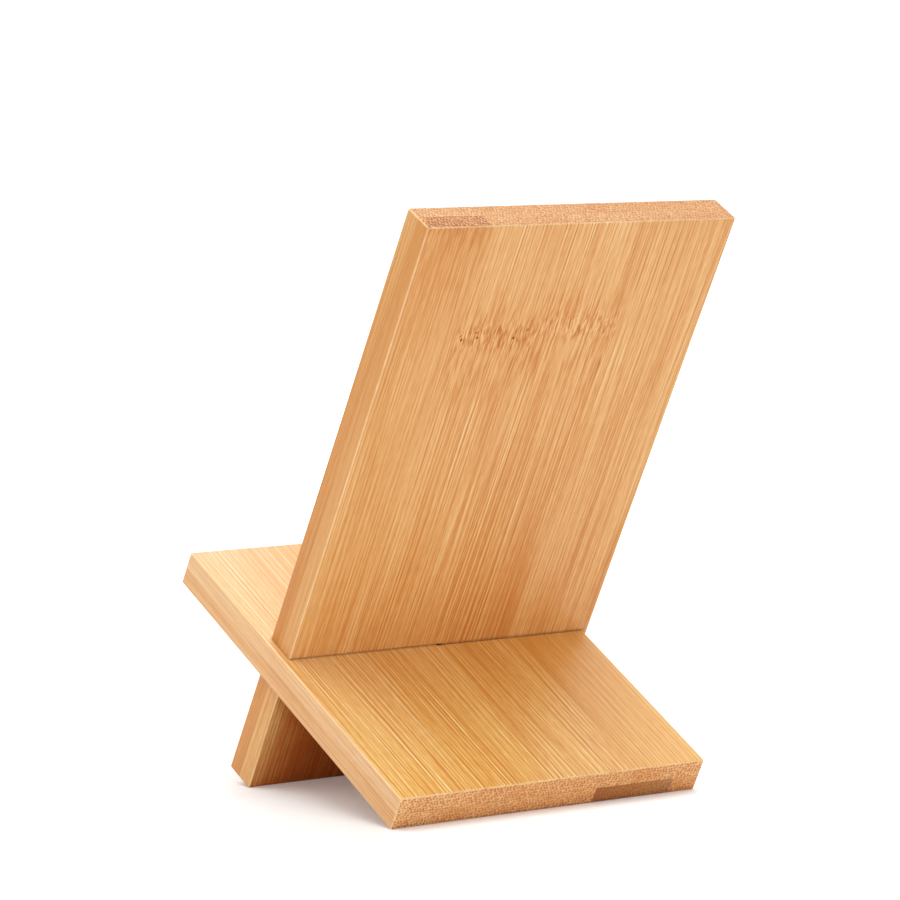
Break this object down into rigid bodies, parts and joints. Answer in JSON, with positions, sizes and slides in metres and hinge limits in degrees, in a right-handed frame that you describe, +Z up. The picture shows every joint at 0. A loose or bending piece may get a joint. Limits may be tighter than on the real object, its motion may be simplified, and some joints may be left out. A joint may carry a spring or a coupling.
{
  "type": "phone stand",
  "caption": "Desk phone stand of laminated bamboo: a leaning upright board crosses a sloping base board in a half-lap joint, and the base's raised front lip holds the phone's lower edge.",
  "frame": {"origin": "on the table, under the middle of the stand's bounding box", "axes": "+Z up, -Y towards the phone's user (the front lip's side), +Y behind the leaning upright, X across the boards; the upright's slot opens towards +X and the base's towards -X"},
  "size_m": [0.0816, 0.0892, 0.1271],
  "materials": {
    "upright_back_bamboo": "satin clear coat",
    "upright_front_bamboo": "satin clear coat",
    "base_top_bamboo": "satin clear coat",
    "base_bottom_bamboo": "satin clear coat"
  },
  "bodies": {
    "base": {"base_top_strip_1": "base_top_bamboo", "base_top_strip_2": "base_top_bamboo", "base_top_strip_3_rear": "base_top_bamboo", "base_top_strip_3_lip": "base_top_bamboo", "base_top_strip_4_rear": "base_top_bamboo", "base_top_strip_4_lip": "base_top_bamboo", "base_bottom_strip_1": "base_bottom_bamboo", "base_bottom_strip_2": "base_bottom_bamboo", "base_bottom_strip_3": "base_bottom_bamboo", "base_bottom_strip_4_rear": "base_bottom_bamboo", "base_bottom_strip_4_lip": "base_bottom_bamboo", "base_bottom_strip_5_rear": "base_bottom_bamboo", "base_bottom_strip_5_lip": "base_bottom_bamboo"},
    "upright": {"upright_back_strip_1_foot": "upright_back_bamboo", "upright_back_strip_1_upper": "upright_back_bamboo", "upright_back_strip_2_foot": "upright_back_bamboo", "upright_back_strip_2_upper": "upright_back_bamboo", "upright_back_strip_3": "upright_back_bamboo", "upright_back_strip_4": "upright_back_bamboo", "upright_back_strip_5": "upright_back_bamboo", "upright_front_strip_1_foot": "upright_front_bamboo", "upright_front_strip_1_upper": "upright_front_bamboo", "upright_front_strip_2_foot": "upright_front_bamboo", "upright_front_strip_2_upper": "upright_front_bamboo", "upright_front_strip_3": "upright_front_bamboo", "upright_front_strip_4": "upright_front_bamboo", "upright_front_strip_5": "upright_front_bamboo"}
  },
  "joints": [
    {"name": "upright_slide", "type": "slide", "parent": "base", "child": "upright", "axis": [-1, 0, 0], "range_m": [-0.0015, 0.084]}
  ]
}
